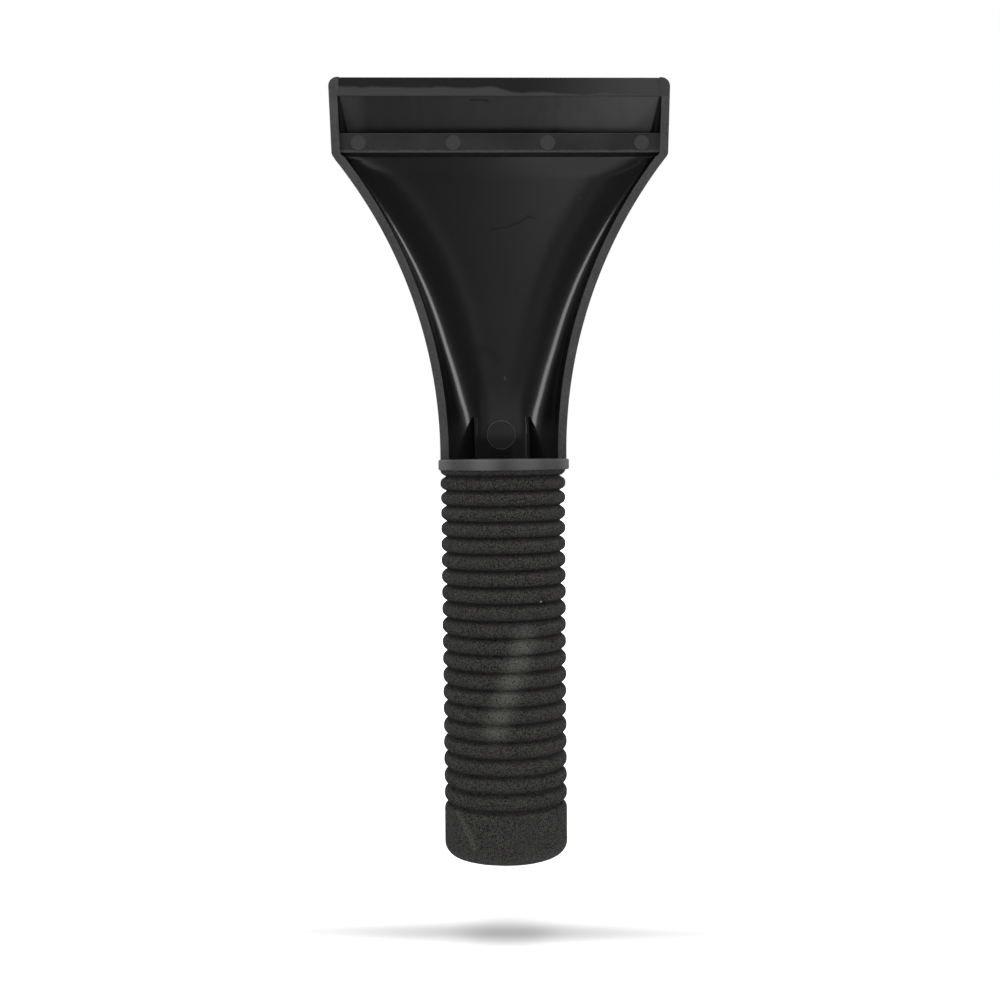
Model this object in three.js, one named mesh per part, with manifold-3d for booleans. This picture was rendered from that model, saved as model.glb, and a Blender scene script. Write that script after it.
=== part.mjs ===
// Ice scraper with a ribbed foam grip.
// Millimetres. +Z runs along the handle from the grip's flat end to the scraping edge.
// The open back of the head faces -Y, and the origin is the centre of the grip's flat end.

import * as THREE from 'three';
import { mergeVertices } from 'three/addons/utils/BufferGeometryUtils.js';
import Module from 'manifold-3d';

const wasm = await Module();
wasm.setup();

const { clamp, degToRad, lerp } = THREE.MathUtils;

// Lengths along the handle
const GRIP_LENGTH = 114;
const COLLAR_THICKNESS = 3.5;
const HEAD_LENGTH = 112;
const SHELL_LENGTH = 90.2; // hollow flare, from the collar to the stiffening bar
const BAR_WIDTH = 5.7;
const LIP_WIDTH = 5.5; // flat band behind the scraping edge

// Head outline
const NECK_HALF_WIDTH = 18.7;
const NECK_STRAIGHT = 1.5; // straight stretch between the collar and the flare
const FLARE_RADIUS = 141;
const SHOULDER_HALF_WIDTH = 49.55; // where the flare meets the blade's straight side
const EDGE_HALF_WIDTH = 50.3;
const EDGE_CORNER_RADIUS = 2.7;
const SHOULDER_BLEND = 0.5;
const WALL = 2.5;
const WALL_DRAFT = degToRad(3);

// Head depth, measured from the rim plane towards the front
const NECK_DEPTH = 16.4;
const EDGE_THICKNESS = 1.2;
const BEVEL_SLOPE = Math.tan(degToRad(22.5));
const BEVEL_BLEND = 1.6;
const FRONT_RADIUS = 664; // side-view arc of the front, tangent to the neck
const POCKET_STEP = 0.3; // depth of the pocket where it leaves the lip
const POCKET_SLOPE = Math.tan(degToRad(24));
const LIP_FALL = 0.5; // the lip's face falls back this far at the edge
const LIP_SIDE = 2.9; // rim left standing beside the lip's face
const BAR_RECESS = 0.9;
const BAR_DRAFT = degToRad(1.5);
const BAR_ROOT_DEPTH = 7.6; // sunk into the wall under the floor

// Elliptic rounding between the floor and the side walls, as [width, height]
const CORNER_WIDTH = 14;
const CORNER_HEIGHT = 8; // low in the hollow
const CORNER_HEIGHT_AT_BAR = 1.3;
const CORNER_NECK_GAIN = 3.8; // height gained in the neck
const CORNER_NECK_REACH = 26;
const POCKET_CORNER = [2.2, 2.2];
const SKIN_CORNER_AT_NECK = [16.5, 13.8];
const SKIN_CORNER_AT_BAR = POCKET_CORNER.map((size) => size + WALL);
const CORNER_SHARE_OF_DEPTH = 0.85; // most of the depth that the rounding may take
const CORNER_STEPS = 8;

// Spacing of the head's sections, which lie closer about the shoulder
const SHOULDER_ZONE_BELOW = 3; // below the bar
const SHOULDER_ZONE_ABOVE = 2; // above the bar
const SHELL_SECTIONS = 16;
const SHOULDER_SECTIONS = 10;
const BLADE_SECTIONS = 3;
const EDGE_CORNER_SECTIONS = 5;

// Round marks of the ejector pins
const BAR_PIN_RADIUS = 2.2;
const BAR_PIN_PLACES = [-41.7, -13.9, 13.9, 41.7];
const BAR_PIN_STAND = 0.12;
const NECK_PIN_RADIUS = 4.4;
const NECK_PIN_RISE = 7.2; // above the collar
const NECK_PIN_DEPTH = 13.55;
const PIN_ROOT = 1; // sunk into the plastic behind the mark
const PIN_SEGMENTS = 24;

// Gussets in the neck
const GUSSET_OFFSET = 7.9;
const GUSSET_THICKNESS = 1.2;
const GUSSET_LENGTH = 12.6;
const GUSSET_TOP_DEPTH = 5;
const GUSSET_TIP_DEPTH = 10.6;
const GUSSET_ROOT_DEPTH = 14;

// Collar and handle core
const COLLAR_RADIUS = 19.3;
const COLLAR_LOWER_CHAMFER = 0.6;
const COLLAR_UPPER_CHAMFER = 0.3;
const CORE_RADIUS = 12.3;
const CORE_WEB = 2.6;
const CORE_RIB = 2.2;
const CORE_RIB_CLEARANCE = 0.5; // the discs stand this far past the ribs
const CORE_DISC = 2.4;
const CORE_DISC_COUNT = 6;
const ROUND_SEGMENTS = 48;

// Foam grip
const FIT_GAP = 0.3;
const GRIP_RADIUS = 18.2; // at the lower end
const GRIP_SPREAD = 0.25; // radius gained at the collar, where the foam is pushed up
const GRIP_END_RADIUS = 4;
const GRIP_END_WALL = 8; // foam left closing the lower end
const GRIP_SEGMENTS = 36;
const GRIP_ARC_STEPS = 5;
const GROOVE_COUNT = 21;
const GROOVE_DEPTH = 1.6;
const FIRST_GROOVE = 1.4; // from the collar end
const RIB_PITCH = 5.07;
const RIB_SQUEEZE = 0.9; // pitch lost where the foam is pushed up against the collar
const SQUEEZE_REACH = 5.5; // ribs over which the squeeze dies away
const RIB_STEPS = 4;

// Heights that follow from the lengths
const NECK_Z = GRIP_LENGTH + COLLAR_THICKNESS;
const BAR_BASE_Z = NECK_Z + SHELL_LENGTH;
const BAR_TOP_Z = BAR_BASE_Z + BAR_WIDTH;
const EDGE_Z = NECK_Z + HEAD_LENGTH;
const LIP_BASE_Z = EDGE_Z - LIP_WIDTH;
const CORE_END_Z = GRIP_END_WALL + FIT_GAP;

// Small helpers

// Evenly spaced values from start to end, both included.
function steps(start, end, count) {
  return Array.from({ length: count + 1 }, (_, i) => lerp(start, end, i / count));
}

// The smaller of two values, with their crossing rounded off.
function softMin(a, b, blend) {
  const mix = clamp(0.5 + (0.5 * (b - a)) / blend, 0, 1);
  return lerp(b, a, mix) - blend * mix * (1 - mix);
}

// How far an arc has fallen from its tangent at a run along that tangent.
function arcFall(radius, run) {
  return radius - Math.sqrt(radius ** 2 - run ** 2);
}

// A closed geometry as a solid for joining and cutting.
function solidOf(geometry) {
  const bare = geometry.clone();
  bare.deleteAttribute('normal');
  bare.deleteAttribute('uv');
  const merged = mergeVertices(bare, 1e-4);
  return new wasm.Manifold(
    new wasm.Mesh({
      numProp: 3,
      vertProperties: new Float32Array(merged.attributes.position.array),
      triVerts: new Uint32Array(merged.index.array),
    }),
  );
}

// A solid back as a geometry.
function geometryOf(solid) {
  const mesh = solid.getMesh();
  const geometry = new THREE.BufferGeometry();
  geometry.setAttribute('position', new THREE.BufferAttribute(mesh.vertProperties, 3));
  geometry.setIndex(new THREE.BufferAttribute(mesh.triVerts, 1));
  geometry.computeVertexNormals();
  return geometry;
}

// A closed skin through convex sections. sectionAt(z) gives [x, y] points, counter-clockwise from above.
function loft(heights, sectionAt) {
  const rings = heights.map((z) => sectionAt(z).map(([x, y]) => [x, y, z]));
  const count = rings[0].length;
  const last = (rings.length - 1) * count;
  const index = [];
  for (let ring = 0; ring < rings.length - 1; ring += 1) {
    for (let i = 0; i < count; i += 1) {
      const a = ring * count + i;
      const b = ring * count + ((i + 1) % count);
      index.push(a, b, b + count);
      index.push(a, b + count, a + count);
    }
  }
  for (let i = 1; i < count - 1; i += 1) {
    index.push(0, i + 1, i);
    index.push(last, last + i, last + i + 1);
  }
  const geometry = new THREE.BufferGeometry();
  geometry.setAttribute('position', new THREE.Float32BufferAttribute(rings.flat(2), 3));
  geometry.setIndex(index);
  return geometry;
}

// A profile of [y, z] points, drawn out along X on both sides of x.
function barAlongX(points, width, x) {
  const shape = new THREE.Shape(points.map(([y, z]) => new THREE.Vector2(y, z)));
  const geometry = new THREE.ExtrudeGeometry(shape, { depth: width, bevelEnabled: false });
  const drawnAlongX = new THREE.Matrix4().makeBasis(
    new THREE.Vector3(0, 1, 0),
    new THREE.Vector3(0, 0, 1),
    new THREE.Vector3(1, 0, 0),
  );
  return geometry.applyMatrix4(drawnAlongX).translate(x - width / 2, 0, 0);
}

// A profile of [radius, z] points turned about the Z axis.
function turned(points, segments) {
  const profile = points.map(([radius, z]) => new THREE.Vector2(radius, z));
  return new THREE.LatheGeometry(profile, segments).rotateX(Math.PI / 2);
}

// A block about the axis, from z low to z high.
function coreSlab(width, depth, x, low, high) {
  const geometry = new THREE.BoxGeometry(width, depth, high - low);
  return geometry.translate(x, 0, (low + high) / 2);
}

// Head formulas

// How far the section has come on its way from the neck, 0, to the bar, 1.
function shellShare(z) {
  return clamp((z - NECK_Z) / SHELL_LENGTH, 0, 1);
}

// Outline of the rim, seen from behind.
function halfWidth(z) {
  const run = Math.max(z - NECK_Z - NECK_STRAIGHT, 0);
  const flare = NECK_HALF_WIDTH + arcFall(FLARE_RADIUS, run);
  const upSide = (z - BAR_BASE_Z) / (EDGE_Z - BAR_BASE_Z);
  const side = lerp(SHOULDER_HALF_WIDTH, EDGE_HALF_WIDTH, upSide);
  const intoCorner = Math.max(z - (EDGE_Z - EDGE_CORNER_RADIUS), 0);
  return softMin(flare, side, SHOULDER_BLEND) - arcFall(EDGE_CORNER_RADIUS, intoCorner);
}

// Slope of the rim's outline, so that its width is kept square to the curve.
function rimSlope(z) {
  const reach = 0.5;
  return (halfWidth(z + reach) - halfWidth(z - reach)) / (2 * reach);
}

// Depth of the front before the blade's bevel cuts it.
function frontDepth(z) {
  return NECK_DEPTH - arcFall(FRONT_RADIUS, z - NECK_Z);
}

// Depth of the head's outer skin at mid-width.
function skinDepth(z) {
  return softMin(EDGE_THICKNESS + BEVEL_SLOPE * (EDGE_Z - z), frontDepth(z), BEVEL_BLEND);
}

// Depth of the hollow's floor at mid-width, the pocket behind the lip included.
function floorDepth(z) {
  return softMin(POCKET_STEP + POCKET_SLOPE * (LIP_BASE_Z - z), frontDepth(z) - WALL, BEVEL_BLEND);
}

// A size that lies between two [width, height] pairs.
function between(a, b, share) {
  return a.map((size, i) => lerp(size, b[i], share));
}

// Rounding of the hollow: it changes to the pocket's tighter one behind the bar.
function hollowCorner(z) {
  const flank = lerp(CORNER_HEIGHT, CORNER_HEIGHT_AT_BAR, shellShare(z) ** 2);
  const neck = CORNER_NECK_GAIN * Math.exp(-(((z - NECK_Z) / CORNER_NECK_REACH) ** 4));
  const behindBar = clamp((z - BAR_BASE_Z) / BAR_WIDTH, 0, 1);
  return between([CORNER_WIDTH, flank + neck], POCKET_CORNER, behindBar);
}

// Trough: side walls with draft, rounded by a quarter ellipse into a flat floor.
function troughSection(halfSpan, depth, corner, draft) {
  const fit = Math.min(1, (CORNER_SHARE_OF_DEPTH * depth) / corner[1]);
  const [width, height] = corner.map((size) => size * fit);
  const first = Math.atan((height / width) * Math.tan(draft));
  const firstDepth = depth - height + height * Math.sin(first);
  const centreX = halfSpan - firstDepth * Math.tan(draft) - width * Math.cos(first);
  const right = steps(first, Math.PI / 2, CORNER_STEPS).map((angle) => [
    centreX + width * Math.cos(angle),
    depth - height + height * Math.sin(angle),
  ]);
  const left = right.map(([x, y]) => [-x, y]).reverse();
  return [...right, ...left];
}

// Outer section of the head at one height.
function skinSection(z) {
  const share = shellShare(z);
  const corner = between(SKIN_CORNER_AT_NECK, SKIN_CORNER_AT_BAR, share);
  const span = halfWidth(z);
  const trough = troughSection(span, skinDepth(z), corner, WALL_DRAFT * share);
  return [[span, 0], ...trough, [-span, 0]];
}

// Section of the hollow at one height, carried past the rim plane so that it cuts clean through.
function hollowSection(z) {
  const span = halfWidth(z) - WALL / Math.cos(Math.atan(rimSlope(z)));
  const trough = troughSection(span, floorDepth(z), hollowCorner(z), WALL_DRAFT * shellShare(z));
  return [[span, -WALL], [span, 0], ...trough, [-span, 0], [-span, -WALL]];
}

// Parts of the moulding

function headSkin() {
  const shoulder = BAR_BASE_Z - SHOULDER_ZONE_BELOW;
  const blade = BAR_TOP_Z + SHOULDER_ZONE_ABOVE;
  const corner = EDGE_Z - EDGE_CORNER_RADIUS;
  const turns = steps(0, Math.PI / 2, EDGE_CORNER_SECTIONS);
  const heights = [
    NECK_Z - COLLAR_THICKNESS / 2,
    ...steps(NECK_Z, shoulder, SHELL_SECTIONS),
    ...steps(shoulder, blade, SHOULDER_SECTIONS).slice(1),
    ...steps(blade, corner, BLADE_SECTIONS).slice(1),
    ...turns.slice(1).map((angle) => corner + EDGE_CORNER_RADIUS * Math.sin(angle)),
  ];
  return loft(heights, skinSection);
}

function headHollow() {
  const shoulder = BAR_BASE_Z - SHOULDER_ZONE_BELOW;
  const heights = [
    ...steps(NECK_Z, shoulder, SHELL_SECTIONS),
    ...steps(shoulder, BAR_TOP_Z, SHOULDER_SECTIONS).slice(1),
    ...steps(BAR_TOP_Z, LIP_BASE_Z, BLADE_SECTIONS).slice(1),
  ];
  return loft(heights, hollowSection);
}

// The lip's face falls back towards the edge between the two side rims.
function lipFall() {
  const past = 1;
  const width = 2 * (halfWidth(LIP_BASE_Z) - LIP_SIDE);
  const fall = (LIP_FALL * (LIP_WIDTH + past)) / LIP_WIDTH;
  const profile = [
    [0, LIP_BASE_Z],
    [fall, EDGE_Z + past],
    [-past, EDGE_Z + past],
    [-past, LIP_BASE_Z],
  ];
  return barAlongX(profile, width, 0);
}

function stiffeningBar() {
  const flare = (BAR_ROOT_DEPTH - BAR_RECESS) * Math.tan(BAR_DRAFT);
  const profile = [
    [BAR_RECESS, BAR_BASE_Z],
    [BAR_ROOT_DEPTH, BAR_BASE_Z - flare],
    [BAR_ROOT_DEPTH, BAR_TOP_Z + flare],
    [BAR_RECESS, BAR_TOP_Z],
  ];
  return barAlongX(profile, 2 * EDGE_HALF_WIDTH, 0);
}

function gusset(side) {
  const foot = NECK_Z - COLLAR_THICKNESS / 2;
  const tip = NECK_Z + GUSSET_LENGTH;
  const profile = [
    [GUSSET_TOP_DEPTH, foot],
    [GUSSET_ROOT_DEPTH, foot],
    [GUSSET_ROOT_DEPTH, tip],
    [GUSSET_TIP_DEPTH, tip],
    [GUSSET_TOP_DEPTH, NECK_Z],
  ];
  return barAlongX(profile, GUSSET_THICKNESS, side * GUSSET_OFFSET);
}

// Raised round mark of an ejector pin, with its face at the given depth.
function pinMark(x, z, radius, depth) {
  const geometry = new THREE.CylinderGeometry(radius, radius, PIN_ROOT, PIN_SEGMENTS);
  return geometry.translate(x, depth + PIN_ROOT / 2, z);
}

function collar() {
  const profile = [
    [0, GRIP_LENGTH],
    [COLLAR_RADIUS - COLLAR_LOWER_CHAMFER, GRIP_LENGTH],
    [COLLAR_RADIUS, GRIP_LENGTH + COLLAR_LOWER_CHAMFER],
    [COLLAR_RADIUS, NECK_Z - COLLAR_UPPER_CHAMFER],
    [COLLAR_RADIUS - COLLAR_UPPER_CHAMFER, NECK_Z],
    [0, NECK_Z],
  ];
  return turned(profile, ROUND_SEGMENTS);
}

// Round discs spaced down the core, which the foam's bore sits on.
function coreDisc(place) {
  const base = lerp(CORE_END_Z, GRIP_LENGTH, place / CORE_DISC_COUNT);
  const top = base + CORE_DISC;
  return turned([[0, base], [CORE_RADIUS, base], [CORE_RADIUS, top], [0, top]], ROUND_SEGMENTS);
}

// Flat web with two ribs in line with the gussets.
function handleCore() {
  const top = GRIP_LENGTH + COLLAR_THICKNESS / 2;
  const reach = CORE_RADIUS - CORE_RIB_CLEARANCE;
  const ribDepth = 2 * Math.sqrt(reach ** 2 - (GUSSET_OFFSET + CORE_RIB / 2) ** 2);
  let core = solidOf(coreSlab(2 * CORE_RADIUS - CORE_WEB, CORE_WEB, 0, CORE_END_Z, top));
  for (const side of [-1, 1]) {
    core = core.add(solidOf(coreSlab(CORE_RIB, ribDepth, side * GUSSET_OFFSET, CORE_END_Z, top)));
  }
  for (let place = 0; place < CORE_DISC_COUNT; place += 1) {
    core = core.add(solidOf(coreDisc(place)));
  }
  return core;
}

function scraperBody() {
  const skin = solidOf(headSkin());
  let body = skin.subtract(solidOf(headHollow())).subtract(solidOf(lipFall()));
  body = body.add(solidOf(stiffeningBar()).intersect(skin));
  for (const side of [-1, 1]) {
    body = body.add(solidOf(gusset(side)));
  }
  for (const x of BAR_PIN_PLACES) {
    const barMiddle = (BAR_BASE_Z + BAR_TOP_Z) / 2;
    body = body.add(solidOf(pinMark(x, barMiddle, BAR_PIN_RADIUS, BAR_RECESS - BAR_PIN_STAND)));
  }
  body = body.add(solidOf(pinMark(0, NECK_Z + NECK_PIN_RISE, NECK_PIN_RADIUS, NECK_PIN_DEPTH)));
  return geometryOf(body.add(solidOf(collar())).add(handleCore()));
}

// Foam grip

// Height of a groove. The pitch is short under the collar and reaches its full length further down.
function grooveHeight(place) {
  const squeezed = RIB_SQUEEZE * SQUEEZE_REACH * (1 - Math.exp(-place / SQUEEZE_REACH));
  return GRIP_LENGTH - FIRST_GROOVE - RIB_PITCH * place + squeezed;
}

// Radius over the ribs, slightly more towards the collar.
function crestRadius(z) {
  return GRIP_RADIUS + (GRIP_SPREAD * z) / GRIP_LENGTH;
}

// Point of a rib's round crest between two sharp grooves, with across from 0 to 1.
function ribPoint(across, z) {
  return [crestRadius(z) - GROOVE_DEPTH * (2 * across - 1) ** 2, z];
}

function gripProfile() {
  const top = GRIP_LENGTH - FIT_GAP;
  const bore = CORE_RADIUS + FIT_GAP;
  const end = steps(-Math.PI / 2, 0, GRIP_ARC_STEPS).map((angle) => [
    crestRadius(GRIP_END_RADIUS) - GRIP_END_RADIUS * (1 - Math.cos(angle)),
    GRIP_END_RADIUS * (1 + Math.sin(angle)),
  ]);
  const lastGroove = grooveHeight(GROOVE_COUNT - 1);
  const shoulder = steps(0.5, 1, RIB_STEPS / 2).map((across) =>
    ribPoint(across, lastGroove - RIB_PITCH * (1 - across)),
  );
  const ribs = [];
  for (let place = GROOVE_COUNT - 1; place > 0; place -= 1) {
    for (let step = 1; step <= RIB_STEPS; step += 1) {
      const across = step / RIB_STEPS;
      ribs.push(ribPoint(across, lerp(grooveHeight(place), grooveHeight(place - 1), across)));
    }
  }
  const boreWall = [[bore, top], [bore, GRIP_END_WALL], [0, GRIP_END_WALL]];
  return [[0, 0], ...end, ...shoulder, ...ribs, [crestRadius(top), top], ...boreWall];
}

function foamGrip() {
  return turned(gripProfile(), GRIP_SEGMENTS);
}

// Assembly

const blackPlastic = new THREE.MeshStandardMaterial({ color: 0x242526, roughness: 0.35, metalness: 0 });
const blackFoam = new THREE.MeshStandardMaterial({ color: 0x2f2f2c, roughness: 0.95, metalness: 0 });

const body = new THREE.Mesh(scraperBody(), blackPlastic);
body.name = 'scraper_body';

const grip = new THREE.Mesh(foamGrip(), blackFoam);
grip.name = 'foam_grip';

const scraper = new THREE.Group();
scraper.add(body, grip);

export default scraper;
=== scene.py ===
import contextlib
import math

import bmesh
import bpy
import numpy as np
from mathutils import Matrix, Vector


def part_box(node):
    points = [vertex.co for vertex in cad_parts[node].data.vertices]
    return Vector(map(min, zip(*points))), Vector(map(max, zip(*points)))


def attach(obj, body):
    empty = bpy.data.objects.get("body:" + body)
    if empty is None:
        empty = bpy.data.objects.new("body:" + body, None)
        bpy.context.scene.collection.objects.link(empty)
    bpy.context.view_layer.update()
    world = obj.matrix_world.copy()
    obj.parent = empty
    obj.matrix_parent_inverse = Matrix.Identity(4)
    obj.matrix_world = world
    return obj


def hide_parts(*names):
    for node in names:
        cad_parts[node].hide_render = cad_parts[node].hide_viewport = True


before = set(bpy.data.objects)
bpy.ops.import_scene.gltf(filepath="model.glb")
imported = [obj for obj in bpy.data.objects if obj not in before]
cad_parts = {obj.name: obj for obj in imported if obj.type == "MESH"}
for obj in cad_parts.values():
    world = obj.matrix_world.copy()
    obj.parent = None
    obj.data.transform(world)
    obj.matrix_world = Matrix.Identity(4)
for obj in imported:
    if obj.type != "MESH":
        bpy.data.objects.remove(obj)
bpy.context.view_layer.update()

bl_info = {
    "name": "Ice scraper",
    "version": (1, 0, 0),
    "blender": (4, 5, 0),
    "location": "View3D > Sidebar > Ice scraper",
    "description": "Builds a moulded ice scraper with a ribbed foam grip, and a plain studio round it",
    "category": "Object",
}

MM = 0.001
BODY_LOW, BODY_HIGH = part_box("scraper_body")
GRIP_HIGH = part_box("foam_grip")[1]
BODY = "root"


# Property helpers


def length(name, millimetres, description):
    return bpy.props.FloatProperty(
        name=name, description=description, default=millimetres * MM, unit="LENGTH", precision=5
    )


def angle(name, degrees, description):
    return bpy.props.FloatProperty(
        name=name, description=description, default=math.radians(degrees), subtype="ANGLE"
    )


def number(name, value, description):
    return bpy.props.FloatProperty(name=name, description=description, default=value)


def count(name, value, description):
    return bpy.props.IntProperty(name=name, description=description, default=value, min=1)


def spot(name, millimetres, description):
    metres = [value * MM for value in millimetres]
    return bpy.props.FloatVectorProperty(
        name=name, description=description, default=metres, subtype="TRANSLATION", unit="LENGTH"
    )


def colour(name, value, description):
    return bpy.props.FloatVectorProperty(
        name=name, description=description, default=value, subtype="COLOR", size=3, min=0.0, max=1.0
    )


class HeadSizes(bpy.types.PropertyGroup):
    """Driving sizes of the moulded body"""

    edge_height: length("Edge height", BODY_HIGH[2] / MM, "Scraping edge above the grip's end")
    head_length: length("Head length", 112, "From the collar to the scraping edge")
    shell_length: length("Shell length", 90.2, "From the collar to the stiffening bar")
    neck_half_width: length("Neck half width", 18.7, "Half the neck's width")
    neck_straight: length("Neck straight", 1.5, "Straight stretch between the collar and the flare")
    neck_depth: length("Neck depth", 16.4, "Depth of the neck, from the rim to the front")
    flare_radius: length("Flare radius", 141, "Arc of the outline, tangent to the neck")
    shoulder_half_width: length("Shoulder half width", 49.55, "Where the flare meets the blade's side")
    edge_half_width: length("Edge half width", BODY_HIGH[0] / MM + 0.09, "Half the blade's width")
    shoulder_blend: length("Shoulder blend", 0.5, "Rounding of the shoulder")
    edge_corner: length("Edge corner", 2.7, "Corner radius of the blade, seen from behind")
    wall: length("Wall", 2.5, "Wall and rim thickness")
    wall_draft: angle("Wall draft", 3, "Lean of the side walls")
    edge_thickness: length("Edge thickness", 1.2, "Depth of the scraping edge")
    edge_round: length("Edge round", 0.25, "Rounding of the scraping edge")
    bevel: angle("Bevel", 22.5, "Slope of the blade's front")
    bevel_blend: length("Bevel blend", 1.6, "Rounding where the bevel meets the front")
    front_radius: length("Front radius", 664, "Side-view arc of the front")
    pocket_step: length("Pocket step", 0.3, "Depth of the pocket where it leaves the lip")
    pocket_slope: angle("Pocket slope", 24, "Slope of the pocket's floor")
    lip_width: length("Lip width", 5.5, "Flat band behind the scraping edge")
    lip_fall: length("Lip fall", 0.5, "Fall of the lip's face at the edge")
    lip_side: length("Lip side", 2.9, "Rim left standing beside the lip")
    rim_round: length("Rim round", 0.3, "Rounding of the rim's two edges")
    floor_end: length("Floor end", 9, "Stretch of the hollow's floor that rises towards the collar")
    floor_end_radius: length("Floor end radius", 130, "Arc of that rise")
    corner_width: length("Corner width", 15.3, "Width of the rounding between floor and wall at the neck")
    corner_width_at_bar: length("Corner width at the bar", 20, "Width of that rounding below the bar")
    corner_bend: number("Corner bend", 0.77, "1 makes it an ellipse, less leaves the floor more softly")
    corner_height: length("Corner height", 8, "Height of that rounding low in the hollow")
    corner_at_bar: length("Corner at bar", 1.3, "Height of that rounding at the bar")
    corner_neck_gain: length("Corner neck gain", 3.8, "Height gained in the neck")
    corner_neck_reach: length("Corner neck reach", 26, "How far that gain reaches up the hollow")
    corner_root_width: length("Corner root width", 14.4, "Width of that rounding beside the gussets")
    corner_root_gain: length("Corner root gain", 2.2, "Height gained beside the gussets")
    corner_root_share: number("Corner root share", 0.97, "Most of the depth that it may take there")
    corner_root_reach: length("Corner root reach", 15, "How far that reaches up the neck")
    skin_corner_width: length("Skin corner width", 16.5, "Width of the skin's rounding at the neck")
    skin_corner_height: length("Skin corner height", 13.8, "Height of the skin's rounding at the neck")
    pocket_corner: length("Pocket corner", 2.2, "Rounding between floor and wall in the pocket")
    corner_share: number("Corner share", 0.85, "Most of the depth that the rounding may take")
    bar_width: length("Bar width", 5.7, "Width of the stiffening bar")
    bar_recess: length("Bar recess", 0.9, "Bar's face below the rim")
    bar_root: length("Bar root", 7.8, "Depth at which the bar's lower side ends inside the wall")
    bar_root_top: length("Bar root top", 6.0, "Depth at which the bar's upper side ends inside the wall")
    bar_draft: angle("Bar draft", 1.5, "Lean of the bar's sides")
    bar_round: length("Bar round", 0.35, "Rounding of the bar's edges")
    pin_radius: length("Pin radius", 2.2, "Ejector-pin marks on the bar")
    pin_count: count("Pin count", 4, "Pin marks on the bar")
    pin_spacing: length("Pin spacing", 27.8, "Distance between the pin marks")
    pin_stand: length("Pin stand", 0.12, "How far a pin mark stands proud")
    neck_pin_radius: length("Neck pin radius", 4.4, "Large ejector-pin mark in the neck")
    neck_pin_rise: length("Neck pin rise", 7.2, "Large mark above the collar")
    neck_pin_depth: length("Neck pin depth", 13.55, "Depth of the large mark's flat face")
    neck_pin_edge: length("Neck pin edge", 0.22, "Rounded edge of the large mark")
    pin_root: length("Pin root", 1, "How far a mark reaches into the plastic")
    gusset_offset: length("Gusset offset", 7.9, "Gusset from the middle plane")
    gusset_thickness: length("Gusset thickness", 1.2, "Thickness of a gusset")
    gusset_taper: number("Gusset taper", 0.6, "Share of that thickness left at the top")
    gusset_length: length("Gusset length", 12.6, "Gusset along the neck")
    gusset_edge: length("Gusset edge", 0.12, "Chamfer of a gusset's edges")
    # Painted highlight: where the pale line on the gusset's inner edge starts
    gusset_highlight_share: number("Gusset worn", 0.6, "Share of the length from which its inner edge is rubbed")
    gusset_top: length("Gusset top", 5, "Depth of the gusset's top at the collar")
    gusset_back: length("Gusset back", 10.2, "Depth of the gusset's top behind its far end")
    gusset_back_share: number("Gusset back share", 0.25, "Where that is, as a share of the length")
    gusset_tip: length("Gusset tip", 11.9, "Depth of the gusset's top at its far end")
    gusset_root: length("Gusset root", 14, "Depth at which the gusset ends inside the wall")
    collar_radius: length("Collar radius", BODY_HIGH[1] / MM, "Radius of the collar")
    collar_thickness: length("Collar thickness", 3.05, "Thickness of the collar")
    collar_round: length("Collar round", 0.45, "Rounding of the collar's edges")
    core_radius: length("Core radius", 12.3, "Radius of the handle core's discs")
    core_web: length("Core web", 2.6, "Thickness of the core's web")
    core_rib: length("Core rib", 2.2, "Thickness of the core's ribs")
    core_disc: length("Core disc", 2.4, "Thickness of the core's discs")
    core_discs: count("Core discs", 6, "Discs down the handle core")


class GripSizes(bpy.types.PropertyGroup):
    """Driving sizes of the foam grip"""

    radius: length("Radius", GRIP_HIGH[0] / MM - 0.25, "Radius over the ribs at the lower end")
    spread: length("Spread", 0.25, "Radius gained at the collar")
    top: length("Top", GRIP_HIGH[2] / MM + 0.73, "Collar end of the foam")
    end_round: length("End round", 4, "Rounding of the lower end")
    end_wall: length("End wall", 8, "Foam that closes the lower end")
    bore: length("Bore", 12.6, "Radius of the bore on the handle core")
    groove_count: count("Grooves", 21, "Ring grooves along the grip")
    groove_depth: length("Groove depth", 1.85, "Depth of a groove")
    rib_power: number("Rib power", 2.8, "2 makes a parabola, more gives flat crests and narrow grooves")
    first_groove: length("First groove", 1.85, "First groove below the collar")
    pitch: length("Pitch", 5.07, "Rib pitch where the foam is relaxed")
    squeeze: length("Squeeze", 0.9, "Pitch lost where the foam is pushed up against the collar")
    squeeze_reach: number("Squeeze reach", 5.5, "Ribs over which the squeeze dies away")
    shift: length("Shift", -0.28, "How far the foam sits off the handle's axis")
    segments: count("Segments", 252, "Faces round the grip")
    rib_steps: count("Rib steps", 14, "Faces across a rib")
    end_steps: count("End steps", 20, "Faces from the grip's side to the middle of its lower end")
    wave_size: length("Wave size", 14, "Size of the slow waves in the ribs")
    wave_height: length("Wave height", 0.22, "Height of the slow waves")
    cell_size: length("Cell size", 0.9, "Size of the foam's cells")
    cell_height: length("Cell height", 0.1, "Height of the foam's cells")


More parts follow.
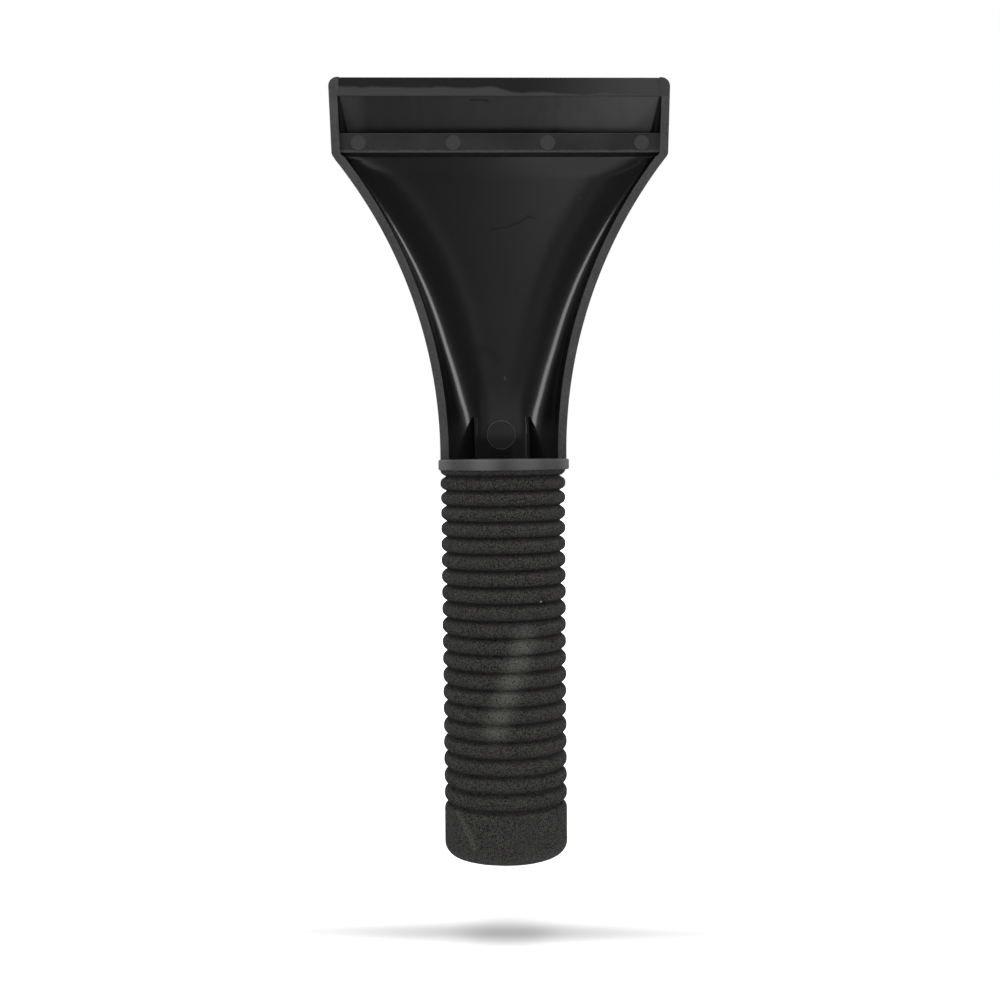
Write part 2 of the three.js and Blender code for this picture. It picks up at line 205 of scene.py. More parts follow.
class FinishColours(bpy.types.PropertyGroup):
    """Colours of the finishes"""

    gloss: colour("Gloss", (0.0022, 0.0022, 0.0023), "Polished plastic inside the head")
    satin: colour("Satin", (0.0168, 0.0168, 0.0172), "Satin plastic on the front and the collar")
    grain: colour("Grain", (0.037, 0.037, 0.0375), "Grained plastic on the rim and the lip")
    # Painted light: the pocket's paler right end
    pocket_painted_light: colour("Pocket rubbed", (0.047, 0.047, 0.0475), "Rubbed right end of the pocket")
    lip: colour("Lip", (0.012, 0.012, 0.0123), "Smooth lip behind the scraping edge")
    # Partly wear, partly painted light from above
    lip_rubbed_and_lit: colour("Lip rubbed", (0.039, 0.039, 0.0395), "Rubbed part of the lip")
    collar: colour("Collar", (0.062, 0.062, 0.0625), "Matte plastic of the collar")
    pin: colour("Pin", (0.034, 0.034, 0.0345), "Pin marks on the bar")
    # Painted highlight for edges in the neck
    worn: colour("Worn", (0.1, 0.1, 0.101), "Edges rubbed pale inside the neck")
    dust: colour("Dust", (0.018, 0.018, 0.0177), "Dust in the neck")
    foam_pore: colour("Foam pore", (0.003, 0.003, 0.0027), "Pores of the foam")
    foam_cell: colour("Foam cell", (0.057, 0.0562, 0.0511), "Cell walls of the foam")
    # Also painted light on the grip: a crease highlight and its lower end
    foam_scuff_and_lit: colour("Foam scuff", (0.11, 0.11, 0.10), "Rubbed patches of the foam")


class StudioSettings(bpy.types.PropertyGroup):
    """Camera, floor and lamps"""

    camera_distance: length("Camera distance", 449.1, "Camera from the handle's axis")
    camera_height: length("Camera height", 123.45, "Camera above the grip's end")
    camera_side: length("Camera side", -1.19, "Camera beside the middle plane")
    camera_pitch: angle("Camera pitch", 2.3, "Camera's tilt down")
    camera_turn: angle("Camera turn", 2.6, "Camera's turn about the handle, to the left")
    camera_roll: angle("Camera roll", 0.55, "Turn of the picture")
    lens: number("Lens", 54.61, "Focal length for a 36 mm frame")
    floor_drop: length("Floor drop", 24, "Floor below the grip's end")
    floor_half: length("Floor half", 4000, "Half the floor's side")
    left_lamp: spot("Left lamp", (-588, -410, 280), "Middle of the left lamp")
    right_lamp: spot("Right lamp", (648, -306, 280), "Middle of the right lamp")
    top_lamp: spot("Top lamp", (0, 0, 900), "Middle of the top lamp")
    lamp_target: spot("Lamp target", (0, 0, 130), "Point that the lamps face")
    side_lamp_width: length("Side lamp width", 160, "Width of the left and right lamps")
    side_lamp_height: length("Side lamp height", 660, "Height of the left and right lamps")
    top_lamp_width: length("Top lamp width", 800, "Top lamp from left to right")
    top_lamp_depth: length("Top lamp depth", 440, "Top lamp from front to back")
    left_watts: number("Left watts", 1.65, "Power of the left lamp")
    right_watts: number("Right watts", 1.75, "Power of the right lamp")
    top_watts: number("Top watts", 5.0, "Power of the top lamp")
    room_light: number("Room light", 0.78, "Strength of the even light from all sides")
    front_shade: number("Front shade", 0.12, "Strength that polished faces mirror from the camera's side")
    window_light: number("Window light", 0.34, "Strength added there at the horizon")


# Formulas of the head


def soft_min(a, b, blend):
    """The smaller of two values, with their crossing rounded off"""
    mix = clamped(0.5 + 0.5 * (b - a) / blend)
    return b + (a - b) * mix - blend * mix * (1.0 - mix)


def arc_fall(radius, run):
    """How far an arc has fallen from its tangent at a run along that tangent"""
    return radius - math.sqrt(max(radius**2 - run**2, 0.0))


def blend_to(a, b, share):
    return a + (b - a) * share


def clamped(value):
    return min(max(value, 0.0), 1.0)


class HeadForm:
    """Section of the moulded head at any height"""

    WALL_STEPS = 6
    ARC_STEPS = 24
    FLOOR_STEPS = 10
    ROUND_STEPS = 4
    SHELL_ROWS = 110
    BAR_ROWS = 42
    POCKET_ROWS = 22
    LIP_ROWS = 8
    EDGE_ROWS = 12
    # Packs the rounding's steps towards the floor
    STEP_POWER = 1.3
    # Most of the depth, and of the wall's height, that the rim's rounding may take
    RIM_SHARE, WALL_SHARE = 0.35, 0.9
    LEAST_DEPTH = 0.02 * MM
    LIP_STEP = 0.04 * MM
    NEAR = 0.1 * MM
    BELOW_BAR = 4.0 * MM

    def __init__(self, sizes):
        self.sizes = sizes
        self.edge_z = sizes.edge_height
        self.neck_z = sizes.edge_height - sizes.head_length
        self.bar_base_z = self.neck_z + sizes.shell_length
        self.bar_top_z = self.bar_base_z + sizes.bar_width
        self.lip_z = self.edge_z - sizes.lip_width

    def shell_share(self, z):
        return clamped((z - self.neck_z) / self.sizes.shell_length)

    def half_width(self, z):
        s = self.sizes
        run = max(z - self.neck_z - s.neck_straight, 0.0)
        flare = s.neck_half_width + arc_fall(s.flare_radius, run)
        up = (z - self.bar_base_z) / (self.edge_z - self.bar_base_z)
        side = blend_to(s.shoulder_half_width, s.edge_half_width, up)
        into_corner = max(z - (self.edge_z - s.edge_corner), 0.0)
        return soft_min(flare, side, s.shoulder_blend) - arc_fall(s.edge_corner, into_corner)

    def rim_slope(self, z):
        reach = 0.5 * MM
        return (self.half_width(z + reach) - self.half_width(z - reach)) / (2.0 * reach)

    def front_depth(self, z):
        return self.sizes.neck_depth - arc_fall(self.sizes.front_radius, z - self.neck_z)

    def edge_shrink(self, z):
        into_edge = max(z - (self.edge_z - self.sizes.edge_round), 0.0)
        return arc_fall(self.sizes.edge_round, into_edge)

    def skin_depth(self, z):
        s = self.sizes
        bevel = s.edge_thickness + math.tan(s.bevel) * (self.edge_z - z)
        return soft_min(bevel, self.front_depth(z), s.bevel_blend) - self.edge_shrink(z)

    def floor_depth(self, z):
        s = self.sizes
        if z > self.lip_z:
            fall = s.lip_fall * (z - self.lip_z) / s.lip_width
            return self.LEAST_DEPTH + fall + self.edge_shrink(z)
        pocket = s.pocket_step + math.tan(s.pocket_slope) * (self.lip_z - z)
        rise = arc_fall(s.floor_end_radius, max(self.neck_z + s.floor_end - z, 0.0))
        return soft_min(pocket, self.front_depth(z) - s.wall - rise, s.bevel_blend)

    def inner_half_width(self, z):
        s = self.sizes
        if z > self.lip_z:
            beside_lip = self.half_width(self.lip_z) - s.lip_side
            return min(beside_lip, self.half_width(z) - s.rim_round)
        return self.half_width(z) - s.wall / math.cos(math.atan(self.rim_slope(z)))

    def skin_corner(self, z):
        """Width, height, bend and depth share of the skin's rounding"""
        s = self.sizes
        share = self.shell_share(z)
        at_bar = s.pocket_corner + s.wall
        return (
            blend_to(s.skin_corner_width, at_bar, share),
            blend_to(s.skin_corner_height, at_bar, share),
            1.0,
            s.corner_share,
        )

    def hollow_corner(self, z):
        """Width, height, bend and depth share of the hollow's rounding, which tightens behind the bar"""
        s = self.sizes
        behind_bar = clamped((z - self.bar_base_z) / s.bar_width)
        height = blend_to(s.corner_height, s.corner_at_bar, self.shell_share(z) ** 2)
        height += s.corner_neck_gain * math.exp(-(((z - self.neck_z) / s.corner_neck_reach) ** 4))
        width = blend_to(s.corner_width, s.corner_width_at_bar, self.shell_share(z) ** 2)
        in_neck = math.exp(-(((z - self.neck_z) / s.corner_root_reach) ** 4))
        width = blend_to(width, s.corner_root_width, in_neck)
        height += s.corner_root_gain * in_neck
        return (
            blend_to(width, s.pocket_corner, behind_bar),
            blend_to(height, s.pocket_corner, behind_bar),
            blend_to(s.corner_bend, 1.0, in_neck),
            blend_to(s.corner_share, s.corner_root_share, in_neck),
        )

    def half_profile(self, span, depth, corner, draft, side):
        """From the rim down the wall to mid-floor; side is 1 for the skin and -1 for the hollow"""
        width, height, bend, share = corner
        fit = min(1.0, share * depth / height)
        width, height = width * fit, height * fit
        edge = min(self.sizes.rim_round, self.RIM_SHARE * depth, self.WALL_SHARE * (depth - height))
        first = math.atan(height / (bend * width) * math.tan(draft))
        first_y = depth - height + height * math.sin(first)
        first_x = span - first_y * math.tan(draft)
        centre_x = first_x - width * math.cos(first) ** bend
        points = []
        for step in range(self.ROUND_STEPS + 1):
            turn = 0.5 * math.pi * step / self.ROUND_STEPS
            points.append((span - side * edge * (1.0 - math.sin(turn)), edge * (1.0 - math.cos(turn))))
        top_x, top_y = points[-1]
        for step in range(1, self.WALL_STEPS):
            along = step / self.WALL_STEPS
            points.append((blend_to(top_x, first_x, along), blend_to(top_y, first_y, along)))
        for step in range(self.ARC_STEPS + 1):
            turn = blend_to(0.5 * math.pi, first, (1.0 - step / self.ARC_STEPS) ** self.STEP_POWER)
            across = max(math.cos(turn), 0.0) ** bend
            points.append((centre_x + width * across, depth - height + height * math.sin(turn)))
        for step in range(1, self.FLOOR_STEPS):
            points.append((centre_x * (1.0 - step / self.FLOOR_STEPS), depth))
        return points

    def ring(self, z):
        """Closed section: skin from right to left, then hollow from left to right"""
        draft = self.sizes.wall_draft * self.shell_share(z)
        skin = self.half_profile(self.half_width(z), self.skin_depth(z), self.skin_corner(z), draft, 1.0)
        hollow = self.half_profile(
            self.inner_half_width(z), self.floor_depth(z), self.hollow_corner(z), draft, -1.0
        )
        skin_round = skin + [(0.0, self.skin_depth(z))] + [(-x, y) for x, y in reversed(skin)]
        hollow_left = [(-x, y) for x, y in hollow]
        hollow_round = hollow_left + [(0.0, self.floor_depth(z))] + list(reversed(hollow))
        return [(x, y, z) for x, y in skin_round + hollow_round]

    def heights(self):
        """Heights of the sections, closer together where the form changes"""
        s = self.sizes
        corner_z = self.edge_z - s.edge_corner
        low = self.neck_z - 0.5 * s.collar_thickness
        below_bar = self.bar_base_z - self.BELOW_BAR
        turns = np.linspace(0.0, 0.5 * math.pi, self.EDGE_ROWS)[1:]
        return np.concatenate(
            [
                [low],
                np.linspace(self.neck_z - self.NEAR, below_bar, self.SHELL_ROWS),
                np.linspace(below_bar, self.bar_top_z, self.BAR_ROWS)[1:],
                np.linspace(self.bar_top_z, self.lip_z - self.LIP_STEP, self.POCKET_ROWS)[1:],
                np.linspace(self.lip_z + self.LIP_STEP, corner_z, self.LIP_ROWS),
                corner_z + s.edge_corner * np.sin(turns),
            ]
        )


# Mesh helpers


def mesh_object(name, vertices, faces):
    mesh = bpy.data.meshes.new(name)
    mesh.from_pydata([tuple(v) for v in vertices], [], faces)
    mesh.validate()
    made = bpy.data.objects.new(name, mesh)
    bpy.context.scene.collection.objects.link(made)
    return made


@contextlib.contextmanager
def edited(thing):
    """The object's mesh as a bmesh, written back at the end"""
    shape = bmesh.new()
    shape.from_mesh(thing.data)
    yield shape
    shape.to_mesh(thing.data)
    shape.free()


def tidy_normals(thing):
    with edited(thing) as shape:
        bmesh.ops.remove_doubles(shape, verts=shape.verts, dist=1e-7)
        bmesh.ops.recalc_face_normals(shape, faces=shape.faces)
    return thing


def paint(thing, *makers):
    for maker in makers:
        thing.data.materials.append(finish_called(maker))
    return thing


def turned(name, profile, segments):
    """A profile of (radius, z) points turned about Z, with both ends on the axis"""
    vertices, faces = [], []
    for step in range(segments):
        turn = 2.0 * math.pi * step / segments
        vertices += [(r * math.cos(turn), r * math.sin(turn), z) for r, z in profile]
    rows = len(profile)
    for step in range(segments):
        here, there = step * rows, (step + 1) % segments * rows
        faces += [(here + i, there + i, there + i + 1, here + i + 1) for i in range(rows - 1)]
    return tidy_normals(mesh_object(name, vertices, faces))


def drawn_along_x(name, profile, low, high, bevel=0.0):
    """A closed profile of (y, z) points drawn out along X"""
    rows = len(profile)
    vertices = [(x, y, z) for x in (low, high) for y, z in profile]
    faces = [tuple(range(rows)), tuple(range(2 * rows - 1, rows - 1, -1))]
    faces += [(i, i + rows, (i + 1) % rows + rows, (i + 1) % rows) for i in range(rows)]
    made = tidy_normals(mesh_object(name, vertices, faces))
    if bevel:
        with edited(made) as shape:
            bmesh.ops.bevel(
                shape, geom=list(shape.edges), offset=bevel, segments=1, profile=0.5, affect="EDGES"
            )
    return made


def rounded(points, radius, steps=4):
    """A closed outline of (y, z) points, rounded at some corners; each corner is (y, z, round it)"""
    outline = []
    for place, (y, z, wanted) in enumerate(points):
        here = Vector((y, z))
        if not wanted:
            outline.append((y, z))
            continue
        before = (Vector(points[place - 1][:2]) - here).normalized()
        after = (Vector(points[(place + 1) % len(points)][:2]) - here).normalized()
        half = 0.5 * before.angle(after)
        reach = radius / math.tan(half)
        centre = here + (before + after).normalized() * radius / math.sin(half)
        start, end = here + before * reach - centre, here + after * reach - centre
        for step in range(steps + 1):
            outline.append(tuple(centre + start.slerp(end, step / steps).normalized() * radius))
    return outline


def keep_result(thing, change):
    """Keeps what a modifier makes of an object as its mesh"""
    bpy.context.view_layer.update()
    result = bpy.data.meshes.new_from_object(thing.evaluated_get(bpy.context.evaluated_depsgraph_get()))
    thing.modifiers.remove(change)
    old = thing.data
    thing.data = result
    bpy.data.meshes.remove(old)
    if not result.polygons:
        raise RuntimeError(f"{thing.name} came out empty")


def combine(base, other):
    """Joins other to base, and removes other"""
    change = base.modifiers.new("join", "BOOLEAN")
    change.operation = "UNION"
    change.solver = "MANIFOLD"
    change.object = other
    keep_result(base, change)
    spare = other.data
    bpy.data.objects.remove(other)
    bpy.data.meshes.remove(spare)


def smooth_over(thing, degrees):
    thing.data.shade_smooth()
    thing.data.set_sharp_from_angle(angle=math.radians(degrees))


# Node helpers


def feed(tree, value, socket):
    """Links a Num or another node's socket, or sets a plain value"""
    if isinstance(value, Num):
        value = value.socket
    if isinstance(value, bpy.types.NodeSocket):
        tree.links.new(value, socket)
    else:
        socket.default_value = value


def add_node(tree, kind, inputs=None, **settings):
    """A node with its settings made and its inputs fed"""
    node = tree.nodes.new(kind)
    for name, value in settings.items():
        setattr(node, name, value)
    for name, value in (inputs or {}).items():
        feed(tree, value, node.inputs[name])
    return node


def axes_of(tree, vector):
    """The parts of a vector along X, Y and Z"""
    return [Num(tree, part) for part in add_node(tree, "ShaderNodeSeparateXYZ", {0: vector}).outputs]


class Num:
    """A number that flows through a node tree, with ordinary arithmetic"""

    def __init__(self, tree, socket):
        self.tree = tree
        self.socket = socket

    def math(self, operation, *others, clamp=False):
        inputs = dict(enumerate((self, *others)))
        node = add_node(self.tree, "ShaderNodeMath", inputs, operation=operation, use_clamp=clamp)
        return Num(self.tree, node.outputs[0])

    def __add__(self, other):
        return self.math("ADD", other)

    def __sub__(self, other):
        return self.math("SUBTRACT", other)

    def __mul__(self, other):
        return self.math("MULTIPLY", other)

    def __truediv__(self, other):
        return self.math("DIVIDE", other)

    __radd__ = __add__
    __rmul__ = __mul__

    def __rsub__(self, other):
        return (self * -1.0) + other

    def clamped(self):
        return self.math("ADD", 0.0, clamp=True)

    def smooth_between(self, low, high):
        inputs = {"Value": self, "From Min": low, "From Max": high}
        node = add_node(self.tree, "ShaderNodeMapRange", inputs, interpolation_type="SMOOTHSTEP")
        return Num(self.tree, node.outputs["Result"])


def new_tree(name, inputs):
    """A Geometry Nodes tree with inputs of the given kinds, as (tree, {label: Num})"""
    tree = bpy.data.node_groups.new(name, "GeometryNodeTree")
    for label, kind in inputs.items():
        tree.interface.new_socket(label, in_out="INPUT", socket_type=f"NodeSocket{kind}")
    tree.interface.new_socket("Geometry", in_out="OUTPUT", socket_type="NodeSocketGeometry")
    entry = tree.nodes.new("NodeGroupInput")
    return tree, {label: Num(tree, entry.outputs[label]) for label in inputs}


def run_tree(name, tree, values):
    """Runs a tree on an empty mesh and keeps the result as a plain mesh object"""
    made = mesh_object(name, [], [])
    change = made.modifiers.new(name, "NODES")
    change.node_group = tree
    for item in tree.interface.items_tree:
        if item.item_type == "SOCKET" and item.in_out == "INPUT":
            change[item.identifier] = values[item.name]
    keep_result(made, change)
    made.data.name = name
    return made


def end_tree(tree, geometry, finish):
    """Realize Instances, Set Material and the group's output"""
    realize = add_node(tree, "GeometryNodeRealizeInstances", {"Geometry": geometry})
    coat = add_node(tree, "GeometryNodeSetMaterial", {"Geometry": realize.outputs[0], "Material": finish})
    add_node(tree, "NodeGroupOutput", {"Geometry": coat.outputs[0]})


# Finishes


# Marks of use and painted highlights, as (x, z) points in millimetres
HAIR = [(-2.6, 186.4), (2.0, 187.2), (5.5, 188.3), (8.5, 190.3), (10.5, 189.6)]
SMEAR = [(-7.2, 150.2), (-4.5, 151.0), (-2.2, 149.8), (-1.0, 147.4)]
CHIP = [(1.2, 142.3), (1.3, 141.5)]
SCRATCH = [(-8.6, 222.95), (-5.3, 222.95), (-3.9, 222.85), (-3.5, 222.4)]
COLLAR_HIGHLIGHT_LEFT = [(-7.2, 116.0), (-6.2, 116.0)]
COLLAR_HIGHLIGHT_RIGHT = [(4.3, 116.0), (6.1, 116.0)]
SCUFF = [(5.0, 66.0), (-4.0, 40.0)]
CREASE = [(-14.6, 14.8), (-12.8, 11.6), (-11.4, 8.7), (-10.3, 5.5)]
FLECK = [(9.6, 76.5), (9.7, 76.6)]


class Finish:
    """A material with a Principled shader and Object coordinates"""

    def __init__(self, name):
        self.material = bpy.data.materials.new(name)
        self.material.use_nodes = True
        self.tree = self.material.node_tree
        self.shader = self.tree.nodes["Principled BSDF"]
        self.place = self.tree.nodes.new("ShaderNodeTexCoord").outputs["Object"]
        self.x, self.y, self.z = axes_of(self.tree, self.place)

    def noise(self, size, detail=2.0, roughness=0.5, seed=0.0, stretch=None):
        source = self.place
        if stretch:
            mapping = add_node(self.tree, "ShaderNodeMapping", {"Vector": source, "Scale": stretch})
            source = mapping.outputs["Vector"]
        inputs = {"Vector": source, "Scale": 1.0 / size, "Detail": detail, "Roughness": roughness, "W": seed}
        node = add_node(self.tree, "ShaderNodeTexNoise", inputs, noise_dimensions="4D")
        return Num(self.tree, node.outputs["Fac"])

    def cells(self, size):
        """A random value for each cell of that size"""
        node = add_node(self.tree, "ShaderNodeTexVoronoi", {"Vector": self.place, "Scale": 1.0 / size})
        return Num(self.tree, node.outputs["Color"])

    def stroke(self, points, width, soft=0.5):
        """1 on a line through (x, z) points in millimetres, 0 away from it"""
        x, z = self.x / MM, self.z / MM
        nearest = None
        for (x0, z0), (x1, z1) in zip(points, points[1:]):
            run, rise = x1 - x0, z1 - z0
            along = (((x - x0) * run + (z - z0) * rise) / (run**2 + rise**2)).clamped()
            aside, above = x - x0 - along * run, z - z0 - along * rise
            away = (aside * aside + above * above).math("SQRT")
            nearest = away if nearest is None else nearest.math("MINIMUM", away)
        return 1.0 - nearest.smooth_between(0.5 * width * (1.0 - soft), 0.5 * width * (1.0 + soft))

    def mix(self, share, low, high):
        """A colour between two others, each a socket or three numbers"""
        tones = [tone if isinstance(tone, bpy.types.NodeSocket) else (*tone, 1.0) for tone in (low, high)]
        node = add_node(self.tree, "ShaderNodeMix", data_type="RGBA")
        for value, place in zip((share, *tones), (0, 6, 7)):
            feed(self.tree, value, node.inputs[place])
        return node.outputs[2]

    def set(self, **values):
        for name, value in values.items():
            feed(self.tree, value, self.shader.inputs[name.replace("_", " ")])

    def bump(self, height, depth, strength=1.0):
        inputs = {"Strength": strength, "Distance": depth, "Height": height}
        node = add_node(self.tree, "ShaderNodeBump", inputs)
        feed(self.tree, node.outputs[0], self.shader.inputs["Normal"])

    def fine_skin(self, seed):
        """The fine skin of satin and matte plastic"""
        self.bump(self.noise(0.5 * MM, detail=3.0, seed=seed), 0.012 * MM)


def scaled(value, factor):
    return tuple(min(channel * factor, 1.0) for channel in value)


def gloss_plastic(finish, colours):
    """Mould-polished plastic: faint haze, a soft orange peel, specks, dust in the neck and marks of use"""
    haze = finish.noise(38 * MM, detail=3.0, seed=1.7).smooth_between(0.42, 0.72)
    specks = finish.noise(0.8 * MM, detail=0.0, seed=4.0).smooth_between(0.8, 0.85)
    form = HeadForm(bpy.context.scene.scraper_head)
    rise = finish.z - form.neck_z
    dusty = rise.smooth_between(5.3 * MM, 8.6 * MM) * (1.0 - rise.smooth_between(11 * MM, 25 * MM))
    aside = finish.x.math("ABSOLUTE")
    dusty = dusty * (1.0 - aside.smooth_between(5.4 * MM, 7.2 * MM))
    # Painted shade: less reflection near the collar, so the neck is darker there
    dull = 1.0 - rise.smooth_between(4.5 * MM, 7.5 * MM)
    hair = finish.stroke(HAIR, 0.26)
    base = finish.mix(haze, colours.gloss, scaled(colours.gloss, 1.5))
    beside = aside.smooth_between(8.3 * MM, 9.0 * MM) * (1.0 - rise.smooth_between(7 * MM, 14 * MM))
    smear = finish.stroke(SMEAR, 1.8, 0.9)
    chip = finish.stroke(CHIP, 0.5, 0.9)
    base = finish.mix(dusty.math("MAXIMUM", beside * 0.5), base, colours.dust)
    base = finish.mix(chip, base, scaled(colours.dust, 1.8))
    base = finish.mix(specks, base, scaled(colours.gloss, 6.0))
    finish.set(Base_Color=base, Specular_IOR_Level=0.4 - hair * 0.3 - smear * 0.1 - dull * 0.1)
    finish.set(Roughness=haze * 0.03 + finish.noise(5 * MM, seed=2.0) * 0.03 + 0.12)
    finish.set(Coat_Weight=0.4 - dull * 0.1 - hair * 0.2, Coat_Roughness=0.32)
    finish.bump(finish.noise(2.4 * MM, detail=2.0, seed=3.0), 0.003 * MM)


def satin_plastic(finish, colours):
    """Satin plastic with a fine skin"""
    patch = finish.noise(9 * MM, detail=4.0, seed=5.0).smooth_between(0.35, 0.7)
    finish.set(Base_Color=finish.mix(patch, colours.satin, scaled(colours.satin, 1.5)))
    finish.set(Roughness=patch * 0.08 + 0.4, Specular_IOR_Level=0.3)
    finish.fine_skin(seed=6.0)


def grain_plastic(finish, colours):
    """Plastic with a fine spark-eroded grain"""
    grain = finish.noise(0.42 * MM, detail=3.0, roughness=0.6, seed=7.0)
    patch = finish.noise(7 * MM, detail=4.0, seed=8.0).smooth_between(0.3, 0.7)
    base = finish.mix(patch, scaled(colours.grain, 0.8), scaled(colours.grain, 1.25))
    base = finish.mix(grain.smooth_between(0.35, 0.75), base, scaled(colours.grain, 1.7))
    finish.set(Base_Color=base, Roughness=grain * 0.15 + 0.5, Specular_IOR_Level=0.3)
    finish.bump(grain, 0.03 * MM, 0.8)


def pocket_plastic(finish, colours):
    """Pocket behind the lip, painted paler towards its right end as if lit from the right, with painted
    highlights near both end walls and painted reflection stripes, and painted shade above the bar and at its
    end walls
    """
    # Painted reflection: soft vertical stripes, which also fray the border of the painted light
    reflection_streaks = finish.noise(3 * MM, detail=2.0, seed=19.0, stretch=(1.0, 1.0, 0.12)) - 0.5
    # Painted light: paler towards the right end, standing in for light from the right
    rubbed_and_lit = (finish.x + reflection_streaks * (14 * MM)).smooth_between(6 * MM, 48 * MM)
    form = HeadForm(bpy.context.scene.scraper_head)
    aside, above_bar = finish.x.math("ABSOLUTE"), finish.z - form.bar_top_z
    # Painted highlights: paler near both end walls
    ends = aside.smooth_between(38 * MM, 44 * MM)
    base = finish.mix(reflection_streaks + 0.5, scaled(colours.gloss, 2.3), scaled(colours.gloss, 6.6))
    base = finish.mix(rubbed_and_lit.math("MAXIMUM", ends * 0.3), base, colours.pocket_painted_light)
    scratch = finish.stroke(SCRATCH, 0.28)
    # Painted shade: darker in a strip just above the bar
    clear = above_bar.smooth_between(0.4 * MM, 1.7 * MM) * (1.0 - scratch * 0.7)
    # Painted shade: darker at the end walls, which also mirror less
    wall = (aside - above_bar * 0.22).smooth_between(44.3 * MM, 45.0 * MM)
    finish.set(Base_Color=finish.mix(clear * (1.0 - wall), scaled(colours.gloss, 0.6), base))
    finish.set(Roughness=ends * 0.3 + 0.28, Specular_IOR_Level=0.5 - scratch * 0.35 - wall * 0.3)
    ripple = finish.noise(2.0 * MM, detail=2.0, seed=20.0, stretch=(1.0, 1.0, 0.2))
    finish.bump(ripple, 0.008 * MM)


def bar_plastic(finish, colours):
    """Satin bar, with a painted highlight along its lower edge"""
    sizes = bpy.context.scene.scraper_head
    patch = finish.noise(14 * MM, detail=3.0, seed=23.0).smooth_between(0.35, 0.7)
    fray = finish.noise(1.4 * MM, detail=3.0, seed=24.0) - 0.5
    above = finish.z - HeadForm(sizes).bar_base_z + fray * (0.9 * MM)
    face = 1.0 - (finish.y - sizes.bar_recess).smooth_between(0.2 * MM, 0.5 * MM)
    # Painted highlight: a pale line along the bar's lower edge, on its face
    rubbed_and_lit = (1.0 - above.smooth_between(0.3 * MM, 0.9 * MM)) * face
    base = finish.mix(patch, colours.satin, scaled(colours.satin, 1.45))
    finish.set(Base_Color=finish.mix(rubbed_and_lit, base, scaled(colours.pin, 1.5)))
    finish.set(Roughness=patch * 0.08 + 0.4, Specular_IOR_Level=0.3)
    finish.fine_skin(seed=25.0)


def lip_plastic(finish, colours):
    """Smooth lip, paler along its lower half, partly from wear and partly painted light from above, and
    paler and rougher towards the right
    """
    wander = finish.noise(11 * MM, detail=3.0, seed=14.0) - 0.5
    fine = finish.noise(0.9 * MM, detail=2.0, seed=15.0) - 0.5
    x = finish.x
    height = finish.z + wander * (3.0 * MM) + fine * (0.5 * MM)
    border = x.smooth_between(-4 * MM, 8 * MM) * (-1.7 * MM) + (BODY_HIGH[2] - 2.9 * MM)
    # Paler below a wavy border: partly wear, partly painted light from above
    rubbed_and_lit = ((border - height) / (0.7 * MM) + 0.5).clamped()
    # Paler and rougher towards the right
    dull = x.smooth_between(4 * MM, 48 * MM)
    share = rubbed_and_lit.math("MAXIMUM", dull)
    finish.set(Base_Color=finish.mix(share, colours.lip, colours.lip_rubbed_and_lit))
    finish.set(Roughness=share * 0.1 + 0.42, Specular_IOR_Level=0.2)
    finish.bump(finish.noise(0.45 * MM, detail=3.0, seed=16.0), 0.01 * MM)


def collar_plastic(finish, colours):
    """Matte skin with painted highlights: two soft pale patches on the front and paler ends"""
    patch = finish.noise(8 * MM, detail=4.0, seed=17.0, stretch=(1.0, 1.0, 0.3)).smooth_between(0.3, 0.7)
    # Painted highlights: two soft pale patches where the lamps shine, and paler ends
    rubbed_and_lit = finish.stroke(COLLAR_HIGHLIGHT_LEFT, 6.0, 0.9) * 0.65
    rubbed_and_lit = rubbed_and_lit + finish.stroke(COLLAR_HIGHLIGHT_RIGHT, 6.0, 0.9) * 0.38
    rubbed_and_lit = rubbed_and_lit + finish.x.math("ABSOLUTE").smooth_between(14.5 * MM, 18.5 * MM) * 0.7
    base = finish.mix(patch, scaled(colours.collar, 0.78), colours.collar)
    finish.set(Base_Color=finish.mix(rubbed_and_lit, base, scaled(colours.collar, 1.95)))
    finish.set(Roughness=patch * 0.1 + 0.6, Specular_IOR_Level=0.1)
    finish.fine_skin(seed=18.0)


def dull_skin(finish, tone, dull, low, high, specular):
    """Dull skin whose colour and roughness follow one noise"""
    finish.set(Base_Color=finish.mix(dull, scaled(tone, low), scaled(tone, high)))
    finish.set(Roughness=dull * 0.1 + 0.5, Specular_IOR_Level=specular)
    finish.bump(dull, 0.01 * MM)


def edge_highlight_plastic(finish, colours):
    """Pale finish for edges, a painted highlight"""
    rubbed_and_lit = finish.noise(0.9 * MM, detail=3.0, seed=26.0)
    dull_skin(finish, colours.worn, rubbed_and_lit, low=0.6, high=1.4, specular=0.3)


def pin_face(finish, colours):
    """Dull face left by an ejector pin"""
    dull = finish.noise(0.6 * MM, detail=3.0, seed=9.0)
    dull_skin(finish, colours.pin, dull, low=0.7, high=1.3, specular=0.4)


